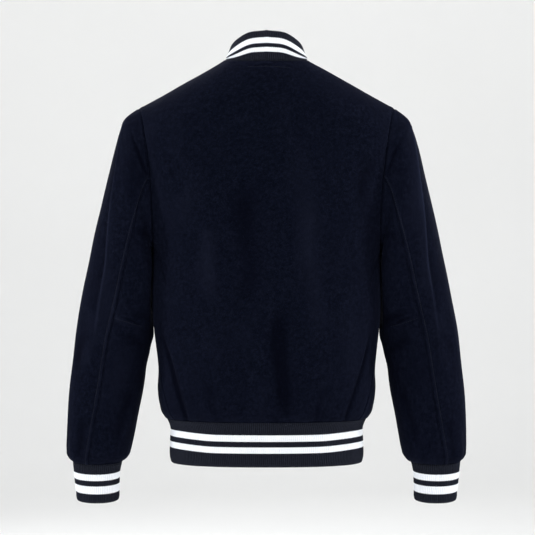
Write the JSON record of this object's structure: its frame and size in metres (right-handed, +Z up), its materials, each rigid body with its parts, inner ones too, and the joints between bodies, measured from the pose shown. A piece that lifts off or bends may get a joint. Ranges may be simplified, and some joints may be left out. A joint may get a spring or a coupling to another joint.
{
  "type": "varsity jacket, filled out with no wearer, held by the wearer",
  "caption": "Navy wool varsity jacket with set-in two-piece sleeves, snap front and striped knitted collar, cuffs and hem, filled out and hollow.",
  "frame": {"origin": "middle of the neck, level with the upper ends of the shoulder seams, where the wearer's neck and shoulders hold the jacket", "axes": "+Z up, +X to the wearer's left, -Y to the front"},
  "size_m": [0.6698, 0.2703, 0.7827],
  "materials": {
    "navy_wool": "matte brushed wool melton",
    "navy_rib": "matte rib knit",
    "white_rib": "matte rib knit stripes in the collar, cuffs and hem band",
    "snap_cap": "smooth enamelled snap cap"
  },
  "bodies": {
    "root": {"back": "navy_wool", "collar": "navy_rib", "cuff_left": "navy_rib", "cuff_right": "navy_rib", "front_left": "navy_wool", "front_right": "navy_wool", "hem_band": "navy_rib", "snap_1": "snap_cap", "snap_2": "snap_cap", "snap_3": "snap_cap", "snap_4": "snap_cap", "snap_5": "snap_cap", "snap_6": "snap_cap", "snap_7": "snap_cap", "top_sleeve_left": "navy_wool", "top_sleeve_right": "navy_wool", "under_sleeve_left": "navy_wool", "under_sleeve_right": "navy_wool"}
  },
  "joints": []
}
